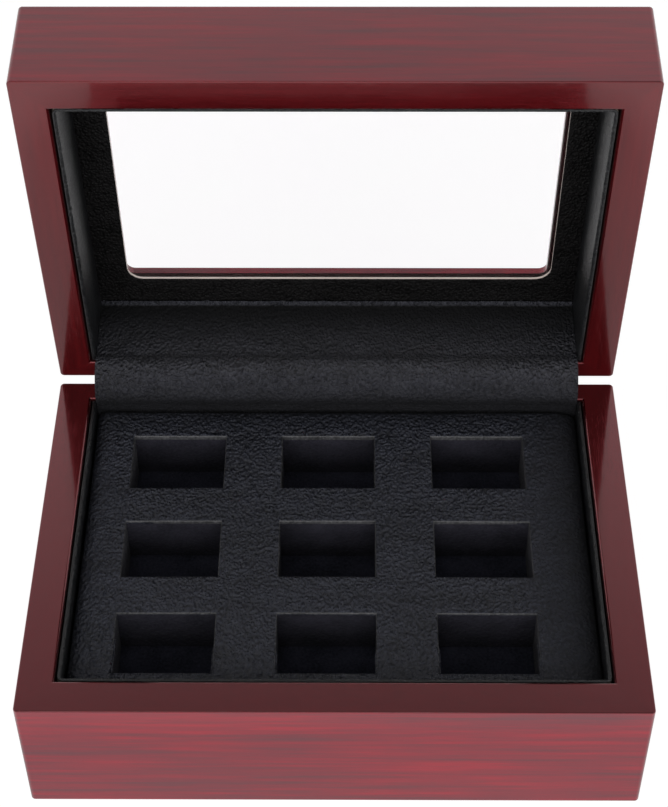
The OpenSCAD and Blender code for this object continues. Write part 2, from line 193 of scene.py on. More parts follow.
def cut_away(obj, cutters):
    """Takes closed solids, each given as (points, faces) in millimetres, out of an object's mesh."""
    for points, faces in cutters:
        cutter = add_object("cutter", new_mesh("cutter", points, faces))
        cutter.matrix_world = obj.matrix_world
        modifier = obj.modifiers.new("cut", "BOOLEAN")
        modifier.operation, modifier.solver, modifier.object = "DIFFERENCE", "EXACT", cutter
        apply_modifiers(obj)
        bpy.data.objects.remove(cutter)


def block(low, high):
    (x0, y0, z0), (x1, y1, z1) = low, high
    points = [(x, y, z) for z in (z0, z1) for x, y in ((x0, y0), (x1, y0), (x1, y1), (x0, y1))]
    faces = [(0, 3, 2, 1), (4, 5, 6, 7), (0, 1, 5, 4), (1, 2, 6, 5), (2, 3, 7, 6), (3, 0, 4, 7)]
    return points, faces


def post(x, y, z0, z1, radius, sides=20):
    turns = [2 * math.pi * k / sides for k in range(sides)]
    ring = [(x + radius * math.cos(a), y + radius * math.sin(a)) for a in turns]
    return loft([at_height(ring, z0), at_height(ring, z1)], "capped")


# ---- Materials ----


def is_socket(value):
    return isinstance(value, bpy.types.NodeSocket)


def tree_of(*values):
    """The node tree of the first socket among some values."""
    return next(filter(is_socket, values)).id_data


def fill(node, values):
    """Links or sets a node's inputs."""
    for key, value in values.items():
        if is_socket(value):
            node.id_data.links.new(value, node.inputs[key])
        else:
            node.inputs[key].default_value = value


def add_node(tree, kind, values=None, **props):
    made = tree.nodes.new(kind)
    for key, value in props.items():
        setattr(made, key, value)
    fill(made, values or {})
    return made


def empty_tree(owner):
    owner.use_nodes = True
    owner.node_tree.nodes.clear()
    return owner.node_tree


def new_material(name):
    """A material with a Principled shader on its output, and its object coordinates."""
    material = bpy.data.materials.new(name)
    tree = empty_tree(material)
    shader = add_node(tree, "ShaderNodeBsdfPrincipled")
    add_node(tree, "ShaderNodeOutputMaterial", {"Surface": shader.outputs["BSDF"]})
    return material, shader, add_node(tree, "ShaderNodeTexCoord").outputs["Object"]


def mapped(coords, scale, turn=(0, 0, 0)):
    """Coordinates turned and stretched. A scale of 1000 makes one unit of a texture one millimetre."""
    values = {"Vector": coords, "Scale": scale, "Rotation": [math.radians(a) for a in turn]}
    return add_node(coords.id_data, "ShaderNodeMapping", values).outputs["Vector"]


def noise_at(vector, scale=1.0, detail=2.0, roughness=0.5, distortion=0.0):
    values = {
        "Vector": vector, "Scale": scale, "Detail": detail,
        "Roughness": roughness, "Distortion": distortion,
    }
    return add_node(vector.id_data, "ShaderNodeTexNoise", values).outputs["Fac"]


def cells_at(vector, scale):
    values = {"Vector": vector, "Scale": scale}
    made = add_node(vector.id_data, "ShaderNodeTexVoronoi", values, feature="SMOOTH_F1")
    return made.outputs["Distance"]


def ramp(factor, stops):
    made = add_node(factor.id_data, "ShaderNodeValToRGB", {"Fac": factor})
    elements = made.color_ramp.elements
    while len(elements) < len(stops):
        elements.new(0.5)
    for element, (position, colour) in zip(elements, stops):
        element.position = position
        element.color = (*colour, 1)
    return made.outputs["Color"]


def spread(value, low, high, from_low=0.0, from_high=1.0):
    values = {"Value": value, "From Min": from_low, "From Max": from_high, "To Min": low, "To Max": high}
    return add_node(value.id_data, "ShaderNodeMapRange", values).outputs["Result"]


def combine(operation, first, second):
    tree = tree_of(first, second)
    return add_node(tree, "ShaderNodeMath", {0: first, 1: second}, operation=operation).outputs[0]


def weighted(*terms):
    """The sum of some values, each given with its weight."""
    total, *others = [combine("MULTIPLY", value, weight) for value, weight in terms]
    for other in others:
        total = combine("ADD", total, other)
    return total


def scaled(colour, share):
    return tuple(c * share for c in colour)


def mix_colour(factor, first, second, blend="MIX"):
    tree = tree_of(factor, first, second)
    first, second = (c if is_socket(c) else (*c, 1) for c in (first, second))
    values = {0: factor, 6: first, 7: second}
    return add_node(tree, "ShaderNodeMix", values, data_type="RGBA", blend_type=blend).outputs[2]


def bump(height, distance, strength=1.0):
    values = {"Height": height, "Distance": distance * MM, "Strength": strength}
    return add_node(height.id_data, "ShaderNodeBump", values).outputs["Normal"]


GRAIN_ALONG, GRAIN_ACROSS = 16.0, 480.0
STREAK_SHARE = 0.58
PORE_STAIN, STAIN_GLOSS = (0.45, 0.5, 0.5), (1.0, 0.04, 0.08)


def lacquered_wood(name, along, stops, pore_share, coat_rough, fibre_rough, gleam):
    """Straight-grained wood under clear lacquer, whose stained fibres gleam red below it.
    along is 0 or 1: the grain runs along X or Y."""
    material, shader, coords = new_material(name)

    def grain(long_way, cross_way):
        """Coordinates for noise with so many swells to a metre along and across the grain."""
        scale = [cross_way] * 3
        scale[along] = long_way
        return mapped(coords, scale)

    streaks = noise_at(grain(GRAIN_ALONG, GRAIN_ACROSS), detail=6, roughness=0.62, distortion=0.15)
    bands = noise_at(grain(GRAIN_ALONG / 2, GRAIN_ACROSS / 6), detail=3, roughness=0.6, distortion=0.4)
    colour = ramp(weighted((streaks, STREAK_SHARE), (bands, 1 - STREAK_SHARE)), stops)
    pores = noise_at(grain(GRAIN_ALONG * 8, GRAIN_ACROSS * 6), detail=3, roughness=0.7)
    pores = spread(pores, 0, 1, 0.56, 0.74)
    dark = mix_colour(1.0, colour, PORE_STAIN, "MULTIPLY")
    colour = mix_colour(combine("MULTIPLY", pores, pore_share), colour, dark)
    ripple = noise_at(coords, scale=180, detail=1)
    specks = spread(noise_at(coords, scale=2600, detail=2), 0, 1, 0.68, 0.8)
    fill(shader, {
        "Base Color": colour,
        "Roughness": spread(streaks, fibre_rough - 0.05, fibre_rough + 0.07),
        "Normal": bump(combine("SUBTRACT", streaks, pores), 0.05, 0.3),
        "IOR": 1.6, "Specular IOR Level": gleam, "Specular Tint": (*STAIN_GLOSS, 1),
        "Coat Normal": bump(weighted((ripple, 1.0), (specks, 0.35)), 0.05, 0.35),
        "Coat Weight": 1.0, "Coat Roughness": coat_rough, "Coat IOR": 1.48,
    })
    return material


LEATHER_WARP = (1.1 * MM, 0.9 * MM, 1.0 * MM)
# The colour's share in the deepest painted shade, and how many times paler the painted highlight on the
# pebble tops is.
DEEPEST_SHADE, TOP_HIGHLIGHT = 0.1, 3.2


def leather(name, colour, grain, depth, rough, level, turn=35.0):
    """Leatherette: rounded pebbles about grain millimetres across, with slanting wrinkles, painted paler as
    a highlight where the relief is high and painted dark where shade falls, as the mesh's painted shade
    says."""
    material, shader, coords = new_material(name)
    warp = noise_at(coords, scale=300, detail=2)
    tree = coords.id_data
    offset = add_node(tree, "ShaderNodeVectorMath", {0: LEATHER_WARP, "Scale": warp}, operation="SCALE")
    sum_of = {0: coords, 1: offset.outputs["Vector"]}
    place = add_node(tree, "ShaderNodeVectorMath", sum_of, operation="ADD").outputs["Vector"]
    pebbles = cells_at(mapped(place, (1, 0.8, 0.8), (0, 0, turn)), 1000 / grain)
    wrinkles = noise_at(mapped(place, (520, 950, 950), (0, 0, turn)), detail=4, roughness=0.6)
    folds = noise_at(mapped(place, (60, 150, 150), (0, 0, -turn)), detail=3)
    height = weighted((wrinkles, 0.8), (pebbles, -1.3), (folds, 0.9))
    shade_share = add_node(tree, "ShaderNodeAttribute", attribute_name=SHADE_ATTRIBUTE).outputs["Fac"]
    relief = combine("MULTIPLY", height, spread(shade_share, 1.0, 0.25))
    tint = mix_colour(spread(folds, 0, 1, 0.3, 0.7), scaled(colour, 0.8), scaled(colour, 1.2))
    # Painted highlight: the pebble tops are painted paler than the leatherette's colour.
    pale = spread(height, 0.0, 0.75, -0.1, 0.75)
    lit_tops = mix_colour(pale, tint, scaled(colour, TOP_HIGHLIGHT))
    polish = spread(wrinkles, rough + 0.08, rough - 0.06)
    fill(shader, {
        # Painted shade: the colour darkens towards its deepest shade where the mesh's painted shade is high.
        "Base Color": mix_colour(shade_share, lit_tops, scaled(colour, DEEPEST_SHADE)),
        "Roughness": weighted((polish, 1.0), (shade_share, 0.5)),
        "Normal": bump(relief, depth),
        "Specular IOR Level": level,
    })
    return material


def fibrous(name, dark, light, size, depth, sheen=0.0, rough=0.95):
    """Foam, flock, felt or card: a matt surface of fine cells or fibres size millimetres across."""
    material, shader, coords = new_material(name)
    fine = noise_at(coords, scale=1000 / size, detail=4, roughness=0.7)
    cells = cells_at(coords, 700 / size)
    clouds = noise_at(coords, scale=90, detail=2)
    tone = weighted((fine, 0.6), (clouds, 0.4))
    fill(shader, {
        "Base Color": ramp(tone, [(0.36, dark), (0.64, light)]),
        "Roughness": spread(fine, rough, rough - 0.15),
        "Normal": bump(weighted((fine, 1.0), (cells, 0.6)), depth),
        "Specular IOR Level": 0.2, "Sheen Weight": sheen, "Sheen Roughness": 0.4,
    })
    return material


def brass(name):
    material, shader, coords = new_material(name)
    brushed = noise_at(mapped(coords, (90, 1400, 1400)), detail=4)
    patina = noise_at(coords, scale=260, detail=3)
    fill(shader, {
        "Base Color": ramp(patina, [(0.35, (0.62, 0.42, 0.16)), (0.65, (0.83, 0.62, 0.3))]),
        "Roughness": spread(brushed, 0.2, 0.42),
        "Normal": bump(brushed, 0.02, 0.5),
        "Metallic": 1.0,
    })
    return material


def clear_glass(name):
    material, shader, coords = new_material(name)
    haze = noise_at(coords, scale=30, detail=2)
    fill(shader, {
        "Base Color": ramp(haze, [(0.3, (1.0, 0.985, 1.0)), (0.7, (1.0, 0.992, 1.0))]),
        "Roughness": spread(haze, 0.0, 0.004),
        "Transmission Weight": 1.0, "IOR": 1.2,
    })
    return material


FACE_STOPS = [
    (0.39, (0.115, 0.018, 0.029)),
    (0.465, (0.180, 0.011, 0.024)),
    (0.535, (0.240, 0.008, 0.022)),
    (0.605, (0.330, 0.005, 0.021)),
]
RIM_STOPS = [(0.38, (0.030, 0.0012, 0.0017)), (0.62, (0.064, 0.0022, 0.0030))]
# The base's rims: the rim wood painted darker, a painted shade.
BASE_RIM_STOPS = [(place, scaled(colour, 0.4)) for place, colour in RIM_STOPS]


def wood_pair(name, **looks):
    """The same wood with its grain along X and along Y."""
    return [lacquered_wood(f"{name}_grain_{way}", along, **looks) for along, way in enumerate("xy")]


FACE_WOOD = wood_pair(
    "wood_face", stops=FACE_STOPS, pore_share=0.65, coat_rough=0.12, fibre_rough=0.3, gleam=0.45
)
LID_RIM_WOOD = wood_pair(
    "wood_rim", stops=RIM_STOPS, pore_share=0.3, coat_rough=0.07, fibre_rough=0.16, gleam=0.9
)
BASE_RIM_WOOD = wood_pair(
    "wood_base_rim_shaded", stops=BASE_RIM_STOPS, pore_share=0.3, coat_rough=0.07, fibre_rough=0.14, gleam=1.0
)
# Dark wood for the walls' hidden inner faces, also used as painted shade on the window's edge next to the
# glass.
INNER_WOOD_AND_SHADE = fibrous(
    "inner_wood_dark_and_shaded", (0.01, 0.0016, 0.0018), (0.024, 0.0036, 0.0042), size=0.9, depth=0.06, rough=0.8
)
RAW_BOARD = fibrous("raw_board", (0.1, 0.06, 0.04), (0.19, 0.12, 0.08), size=1.2, depth=0.1, rough=0.9)
CUSHION_LEATHER = leather(
    "cushion_leatherette", (0.0138, 0.015, 0.0215), grain=1.0, depth=1.6, rough=0.4, level=0.32
)
# Paler, glossier leatherette for the slots' rounded edges: a painted highlight.
EDGE_LEATHER = leather(
    "cushion_leatherette_highlit_edge", (0.03, 0.03, 0.032), grain=0.95, depth=0.3, rough=0.35, level=0.5
)
LINER_LEATHER = leather(
    "liner_leatherette", (0.0075, 0.0078, 0.0085), grain=0.8, depth=0.3, rough=0.4, level=0.4
)
MAT_LEATHER = leather(
    "mat_leatherette", (0.0034, 0.0032, 0.0033), grain=0.8, depth=0.7, rough=0.44, level=0.1
)
# The flap's leatherette is paler than the cushion's, painted light for its roll over the rims; the rest of
# it takes painted shade.
FLAP_LEATHER = leather(
    "flap_leatherette", (0.019, 0.0193, 0.024), grain=0.9, depth=1.7, rough=0.38, level=0.36, turn=8.0
)
FOAM = fibrous(
    "slot_foam", (0.008, 0.0078, 0.0118), (0.0285, 0.0274, 0.0385), size=1.0, depth=0.5, sheen=0.06
)
RISER = fibrous("riser_foam_grey", (0.022, 0.022, 0.024), (0.045, 0.045, 0.048), size=0.8, depth=0.3)
VELVET = fibrous(
    "flocked_velvet", (0.009, 0.01, 0.016), (0.048, 0.049, 0.074), size=1.0, depth=0.5, sheen=0.05
)
FELT = fibrous(
    "underside_felt_black", (0.006, 0.006, 0.007), (0.016, 0.016, 0.018), size=0.6, depth=0.2, sheen=0.2
)
GREY_CARD = fibrous("grey_card", (0.22, 0.19, 0.15), (0.33, 0.29, 0.24), size=0.5, depth=0.05, rough=0.85)
CREAM_CARD = fibrous("cream_card", (0.74, 0.62, 0.56), (0.9, 0.8, 0.74), size=0.5, depth=0.05, rough=0.85)
BRASS = brass("hinge_brass")
GLASS = clear_glass("window_glass")


def dress_node(node, material, bevel=0.0):
    """A CAD node that shows as it is, with its material and slightly softened edges."""
    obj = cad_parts[node]
    if not obj.material_slots:
        obj.data.materials.append(None)
    for slot in obj.material_slots:
        slot.material = material
    if bevel:
        modifier = obj.modifiers.new("edges", "BEVEL")
        modifier.width, modifier.segments = bevel * MM, 2
        modifier.limit_method, modifier.angle_limit = "ANGLE", math.radians(40)
        modifier.use_clamp_overlap = True


# ---- Walls ----

OUTER = [(-HALF_W, -HALF_D), (HALF_W, -HALF_D), (HALF_W, HALF_D), (-HALF_W, HALF_D)]
INNER = [(-INNER_X, INNER_FRONT), (INNER_X, INNER_FRONT), (INNER_X, INNER_BACK), (-INNER_X, INNER_BACK)]
RIM_OUTER_EDGE, RIM_INNER_EDGE, FAR_EDGE, LID_TOP_EDGE = 0.45, 0.9, 0.8, 1.2
EDGE_STEPS, ARC_STEPS, WALL_STEPS, WOOD_SHARP = 5, 4, 24, 30
EDGE_TURNS = [math.radians(90 * k / EDGE_STEPS) for k in range(EDGE_STEPS + 1)]
# Points along a rounded edge, as shares of its radius in from the one face and from the other.
ROUNDING = [(1 - math.sin(turn), 1 - math.cos(turn)) for turn in EDGE_TURNS]


def wall_profile(z0, z1, edges):
    """Points (share of the wall's thickness from its outer face, height), round the wall's section.
    edges are the roundings: lower outer, lower inner, upper inner and upper outer."""
    points = []
    corners = [(0, z0, 1, 1), (1, z0, -1, 1), (1, z1, -1, -1), (0, z1, 1, -1)]
    for k, ((s, z, in_s, in_z), edge) in enumerate(zip(corners, edges)):
        for rounded in ROUNDING:
            a, b = rounded[::-1] if k % 2 else rounded
            points.append((s + in_s * edge / WALL_T * b, z + in_z * edge * a))
    return points


def wall_mesh(side, profile):
    """One mitred wall whose two upright outer corners are rounded."""
    corner = [Vector(OUTER[side]), Vector(OUTER[(side + 1) % 4])]
    inward = [Vector(INNER[side]) - corner[0], Vector(INNER[(side + 1) % 4]) - corner[1]]
    way = (corner[1] - corner[0]).normalized()
    out = Vector((way.y, -way.x))
    rows = []
    for share, z in profile:
        radius = max(CORNER_R - share * WALL_T, 0.0)
        ends = [c + i * share + (way * turn - out) * radius for c, i, turn in zip(corner, inward, (1, -1))]
        angles = [math.radians(45 * (1 - k / ARC_STEPS)) for k in range(ARC_STEPS + 1)]
        row = [ends[0] + radius * (out * math.cos(a) - way * math.sin(a)) for a in angles]
        tail = [ends[1] + radius * (out * math.cos(a) + way * math.sin(a)) for a in reversed(angles)]
        row += [row[-1].lerp(tail[0], k / WALL_STEPS) for k in range(1, WALL_STEPS)] + tail
        rows.append([(p.x, p.y, z) for p in row])
    return loft(list(zip(*rows)), "capped")


def paint_wall(obj, side, rim_way):
    """Outer faces take the first material, the rim the second and the hidden inner faces the third."""
    way = Vector(OUTER[(side + 1) % 4]) - Vector(OUTER[side])
    inward = Vector((-way.y, way.x, 0)).normalized()
    for polygon in obj.data.polygons:
        if polygon.normal.z * rim_way > 0.3:
            polygon.material_index = 1
        else:
            polygon.material_index = 2 if polygon.normal.dot(inward) > 0.7 else 0


def flatten_normals(obj):
    """Large flat faces shade flat, and only the rounded edges turn the light."""
    modifier = obj.modifiers.new("normals", "WEIGHTED_NORMAL")
    modifier.keep_sharp, modifier.weight = True, 100


def mortises(rim, way):
    """Cutters for the hinge leaves and screw pilots in a back wall. way is 1 for the base."""
    cutters, play = [], MORTISE_PLAY
    for x in (-HINGE_X, HINGE_X):
        low, high = sorted((rim - way * LEAF_T, rim + way))
        half = HINGE_L / 2 + play
        cutters.append(block((x - half, LEAF_FRONT - play, low), (x + half, HALF_D + 1, high)))
        if way > 0:
            half = KNUCKLE_L / 2 + play
            low = HINGE_Z - STOP_REACH - play
            cutters.append(block((x - half, HALF_D - STOP_T, low), (x + half, HALF_D + 1, rim + 1)))
        for screw in (-SCREW_SIDE, SCREW_SIDE):
            low, high = sorted((rim - way * PILOT_DEPTH, rim - way * LEAF_T * 0.9))
            cutters.append(post(x + screw, SCREW_Y, low, high, PILOT_R))
    return cutters


def panel_room(z0, z1):
    reach = INNER_X + REBATE
    return block((-reach, INNER_FRONT - REBATE, z0), (reach, INNER_BACK + REBATE, z1))


def make_walls(body, far, far_edge, rim, room, rim_wood):
    """A body's four walls. far is the level of their edge opposite the rim, and room is the height
    of the rebate for the floor or the top panel, as two levels."""
    rim_way = 1 if rim > far else -1
    edges = (far_edge, far_edge, RIM_INNER_EDGE, RIM_OUTER_EDGE)[::rim_way]
    profile = wall_profile(*sorted((far, rim)), edges)
    for number, side in enumerate(("front", "right", "back", "left")):
        points, faces = wall_mesh(number, profile)
        name = f"{body}_{side}_wall"
        woods = [FACE_WOOD[number % 2], rim_wood[number % 2], INNER_WOOD_AND_SHADE]
        obj = add_piece(name + "_wood", points, faces, woods, body, [name])
        cutters = [panel_room(*room)]
        if side == "back":
            cutters += mortises(rim, rim_way)
        cut_away(obj, cutters)
        paint_wall(obj, number, rim_way)
        soften(obj.data, WOOD_SHARP)
        flatten_normals(obj)


# ---- Lid panel and mat ----

PANEL_EDGE, WINDOW_EDGE, SHEET_CORNER_R = 0.3, 0.8, 0.2
# The first: how high above the glass ledge the window's wooden edge takes painted shade.
SHADE_LINE, MAT_SWELL = 2.6, 0.12


def window_loop(extra):
    """The window's outline, extra millimetres wider all round."""
    half = [size + extra for size in WINDOW_HALF]
    return rounded_loop((0, 0), half, WINDOW_R + min(extra, WINDOW_EDGE))


def make_lid_panel():
    """The top panel: its outside, the rounded edge of the window, and the pocket for the glass."""
    half = (INNER_X + REBATE - PANEL_PLAY, INNER_HALF_D + REBATE - PANEL_PLAY)
    loops = []
    for inset, z in ((0, PANEL_UNDER_Z), (0, LID_TOP_Z - PANEL_EDGE), (PANEL_EDGE, LID_TOP_Z)):
        loop = rounded_loop((0, INNER_MID_Y), (half[0] - inset, half[1] - inset), SHEET_CORNER_R)
        loops.append(at_height(loop, z))
    ledge = PANEL_UNDER_Z + GLASS_POCKET
    window = [(WINDOW_EDGE * a, LID_TOP_Z - WINDOW_EDGE * b) for a, b in ROUNDING] + [
        (0, ledge + SHADE_LINE), (0, ledge + 0.4), (0.15, ledge + 0.1), (0.4, ledge),
        (GLASS_LAP, ledge), (GLASS_LAP, PANEL_UNDER_Z),
    ]
    loops += [at_height(window_loop(extra), z) for extra, z in window]
    points, faces = loft(loops, "joined")
    panel = add_piece(
        "lid_top_panel_wood", points, faces, [FACE_WOOD[0], INNER_WOOD_AND_SHADE], "lid", ["lid_top_panel"],
        sharp=WOOD_SHARP,
    )
    # Painted shade: the window's edge below that line, beside the glass, takes the dark inner wood.
    for polygon in panel.data.polygons:
        x, y, z = (c / MM for c in polygon.center)
        beside_window = abs(x) < WINDOW_HALF[0] + GLASS_LAP and abs(y) < WINDOW_HALF[1] + GLASS_LAP
        polygon.material_index = int(beside_window and z < ledge + SHADE_LINE)
    flatten_normals(panel)


def make_mat_leather():
    """The leatherette face of the mat, uneven where it is glued down, cut out round the window."""
    half = (INNER_X - PANEL_PLAY, INNER_HALF_D - PANEL_PLAY)
    corner_steps, side_steps, steps = 12, 60, 8

    def opening(extra):
        grown = [size + extra for size in MAT_HALF]
        return rounded_loop(MAT_MIDDLE, grown, MAT_R + extra, corner_steps, side_steps)

    outer = rounded_loop((0, INNER_MID_Y), half, SHEET_CORNER_R, corner_steps, side_steps)
    near = opening(0.35)
    loops = [at_height(outer, MAT_BACK_Z)]
    for step in range(steps + 1):
        t = step / steps
        swell = MAT_SWELL * math.sin(math.pi * t)
        loop = [between(a, b, t) for a, b in zip(outer, near)]
        loops.append([(x, y, MAT_FACE_Z - swell * abs(wave(x, y, 0, 9, 4))) for x, y in loop])
    for extra, z in ((0.12, MAT_FACE_Z + 0.06), (0.0, MAT_FACE_Z + 0.22), (0.0, MAT_BACK_Z)):
        loops.append(at_height(opening(extra), z))
    points, faces = loft(loops, "joined")
    add_piece(
        "window_mat_leatherette", points, faces, [MAT_LEATHER], "lid", ["window_mat_leather"]
    )


# ---- Lining ----

LINER_STEP, LINER_SWELL, LINER_LIFT = 1.5, 0.07, 0.06


def liner_stations():
    """Points on the walls' inner faces round the front and sides, each with its way inward."""
    back, r, steps = INNER_BACK - LINER_GAP, LINER_R, 10
    left = []
    count = round((back - INNER_FRONT - r) / LINER_STEP)
    for k in range(count):
        left.append((Vector((-INNER_X, back + (INNER_FRONT + r - back) * k / count)), Vector((1, 0))))
    for k in range(steps + 1):
        angle = math.radians(180 + 90 * k / steps)
        way = Vector((math.cos(angle), math.sin(angle)))
        left.append((Vector((-INNER_X + r, INNER_FRONT + r)) + way * r, -way))
    count = round(2 * (INNER_X - r) / LINER_STEP)
    front = [
        (Vector((-INNER_X + r + 2 * (INNER_X - r) * k / count, INNER_FRONT)), Vector((0, 1)))
        for k in range(1, count)
    ]
    right = [(Vector((-p.x, p.y)), Vector((-w.x, w.y))) for p, w in reversed(left)]
    return left + front + right


def make_liner(body, edge_z, foot_z):
    """The leatherette of one lining: flat on its card and folded round the card's edge at the rim."""
    height, way = abs(foot_z - edge_z), 1 if foot_z > edge_z else -1
    outer, card = LINER_GAP, LINER_GAP + LINER_CARD_T
    inner = card + LEATHER_T
    fold, lip, levels, fold_steps = 0.95, 0.2, 8, 6
    profile = [(inner, height * k / levels) for k in range(levels, 0, -1)]
    for step in range(fold_steps + 1):
        angle = math.radians(90 * step / fold_steps)
        profile.append((inner - fold * (1 - math.cos(angle)), fold * (1 - math.sin(angle))))
    profile += [(outer + lip, 0.02), (outer, lip), (outer, LEATHER_T), (card, LEATHER_T), (card, height)]
    loops = []
    for k, (place, inward) in enumerate(liner_stations()):
        loop = []
        for d, h in profile:
            run, swell, lift = k * LINER_STEP, 0.0, 0.0
            if d == inner and h < height:
                swell = LINER_SWELL * max(0.0, 1 - h / 5) * wave(run, h, 0, 5, 7)
            if h < 0.3 and d > outer:
                lift = LINER_LIFT * abs(wave(run, 3, 0, 6, 2))
            spot = place + inward * (d + swell)
            loop.append((spot.x, spot.y, edge_z + way * (h + lift)))
        loops.append(loop)
    points, faces = loft(loops, "capped")
    name = f"{body}_liner_leather"
    add_piece(name + "ette", points, faces, [LINER_LEATHER], body, [name], sharp=50)


# ---- Cushion and flat soft pieces ----


def lines(low, high, edges, marks=(), mark_edge=1.0, step=2.5):
    """Grid lines from low to high, close together at the two rounded edges and beside each mark.
    A mark is (place, way): the block lies on that side of it."""
    bends = [1 - math.sin(math.radians(a)) for a in (90, 72, 54, 36, 18, 0)]
    fixed = {low + edges[0] * b for b in bends} | {high - edges[1] * b for b in bends}
    for place, way in marks:
        fixed |= {place + way * mark_edge * b for b in bends}
    fixed = sorted(fixed)
    out = [fixed[0]]
    for value in fixed[1:]:
        gap = value - out[-1]
        if gap < 1e-4:
            continue
        count = max(1, math.ceil(gap / step))
        out += [out[-1] + gap * (k + 1) / count for k in range(count)]
    return out


def slotted_block(xs, ys, holes, top, hole_levels=(), side_levels=(), bottom=None):
    """A block over a grid of lines, open in its holes. top(x, y) places a point of the upper face.
    A hole level is (how far in from the hole's edge, height), and a side level is (inset, height)."""
    def in_hole(i, j):
        x, y = (xs[i] + xs[i + 1]) / 2, (ys[j] + ys[j + 1]) / 2
        return any(h[0] < x < h[1] and h[2] < y < h[3] for h in holes)

    cells = [(i, j) for i in range(len(xs) - 1) for j in range(len(ys) - 1) if not in_hole(i, j)]
    keys = sorted({(i + a, j + b) for i, j in cells for a in (0, 1) for b in (0, 1)})
    index = {key: n for n, key in enumerate(keys)}
    points = [top(xs[i], ys[j]) for i, j in keys]
    faces = [(index[i, j], index[i + 1, j], index[i + 1, j + 1], index[i, j + 1]) for i, j in cells]
    below = {}

    def skirt(ring, levels, place):
        last = [index[key] for key in ring]
        for level in levels:
            new = list(range(len(points), len(points) + len(ring)))
            points.extend(place(key, level) for key in ring)
            for k in range(len(ring)):
                m = (k + 1) % len(ring)
                faces.append((last[k], last[m], new[m], new[k]))
            last = new
        below.update(zip(ring, last))

    def ring_of(x0, x1, y0, y1):
        columns = [i for i, x in enumerate(xs) if x0 - 1e-6 <= x <= x1 + 1e-6]
        rows = [j for j, y in enumerate(ys) if y0 - 1e-6 <= y <= y1 + 1e-6]
        return (
            [(i, rows[0]) for i in columns[:-1]] + [(columns[-1], j) for j in rows[:-1]]
            + [(i, rows[-1]) for i in reversed(columns[1:])] + [(columns[0], j) for j in reversed(rows[1:])]
        )

    for hole in holes:
        def in_ring(key, level, hole=hole):
            x = min(max(xs[key[0]], hole[0] + level[0]), hole[1] - level[0])
            y = min(max(ys[key[1]], hole[2] + level[0]), hole[3] - level[0])
            return (x, y, level[1])
        skirt(ring_of(*hole), hole_levels, in_ring)

    def beside(key, level):
        place = []
        for c, grid in zip(top(xs[key[0]], ys[key[1]]), (xs, ys)):
            middle, half = (grid[0] + grid[-1]) / 2, (grid[-1] - grid[0]) / 2
            place.append(middle + (c - middle) * (1 - level[0] / half))
        return (*place, level[1])

    skirt(ring_of(xs[0], xs[-1], ys[0], ys[-1]), side_levels, beside)
    if bottom is not None:
        for key in keys:
            if key not in below:
                below[key] = len(points)
                points.append((xs[key[0]], ys[key[1]], bottom))
        faces += [(below[i, j], below[i, j + 1], below[i + 1, j + 1], below[i + 1, j]) for i, j in cells]
    return points, faces


def gap_to(hole, x, y):
    return math.hypot(max(hole[0] - x, x - hole[1], 0), max(hole[2] - y, y - hole[3], 0))


def padded_top(xs, ys, top_z, edges, drop, relief, crown=0.0, pull=0.0, rise=0.0, holes=(), hole_edge=1.0):
    """Places a point of a padded upper face: rounded at the outer edges and corners, crowned, with
    its sides pulled in between the corners, and rounded over into each hole. edges are the widths
    of the rounding at the left, right, front and back, drop is its depth, and rise is how much
    higher the back lies than the middle."""
    x0, x1, y0, y1 = xs[0], xs[-1], ys[0], ys[-1]

    def place(x, y):
        u = min(0.0, (x - x0) / edges[0] - 1) + max(0.0, 1 - (x1 - x) / edges[1])
        v = min(0.0, (y - y0) / edges[2] - 1) + max(0.0, 1 - (y1 - y) / edges[3])
        du, dv = u * math.sqrt(1 - v * v / 2), v * math.sqrt(1 - u * u / 2)
        px, py = x + (du - u) * edges[u > 0], y + (dv - v) * edges[2 + (v > 0)]
        z = top_z - drop * (1 - math.sqrt(max(0.0, 1 - du * du - dv * dv)))
        a, b = (2 * x - x0 - x1) / (x1 - x0), (2 * y - y0 - y1) / (y1 - y0)
        z += crown * ((1 - a * a) * (1 - b * b) - 0.5) + rise * b * abs(b)
        reach = 4 * drop
        near_x = max(0.0, 1 - min(x - x0, x1 - x) / reach) ** 2
        near_y = max(0.0, 1 - min(y - y0, y1 - y) / reach) ** 2
        px -= math.copysign(pull * near_x * (1 - b * b), a)
        py -= math.copysign(pull * near_y * (1 - a * a), b)
        flat = 1.0
        for hole in holes:
            gap = gap_to(hole, x, y) / hole_edge
            if gap < 1:
                z -= hole_edge * (1 - math.sqrt(1 - (1 - gap) ** 2))
            flat = min(flat, gap / 3)
        for height, size, seed in relief:
            z += height * flat * (1 - max(abs(u), abs(v))) * wave(x, y, 0, size, seed)
        return (px, py, z)

    return place


SKIN_X, SKIN_Y, SKIN_SHARP = (-90.3, 90.3), (-61.4, 65.3), 60
# How far from the left, right, front and back edge a shade reaches, and how deep it is there.
SKIN_SHADES = [(8.0, 0.6), (30.0, 0.95), (2.0, 0.3), (12.0, 0.75)]
SIDE_SHADE, SIDE_SHADE_Z, SIDE_SHADE_DROP, SIDE_REACH = 0.9, CUSHION_TOP - 2.5, 1.5, 4.0

# The cushion's rounding at the left, right, front and back, and that rounding's depth.
CUSHION_EDGES, CUSHION_DROP, CUSHION_RISE, CUSHION_TUCK = (4.6, 11.0, 2.4, 2.4), 3.4, 1.0, 2.2
HOLE_EDGE, HOLE_LIP = 0.8, 0.6
PADDING = {
    "edges": CUSHION_EDGES, "drop": CUSHION_DROP, "crown": 0.5, "pull": 0.4, "rise": CUSHION_RISE,
    "relief": [(0.22, 16, 3), (0.12, 6, 9), (0.05, 2.6, 5)], "hole_edge": HOLE_EDGE,
}


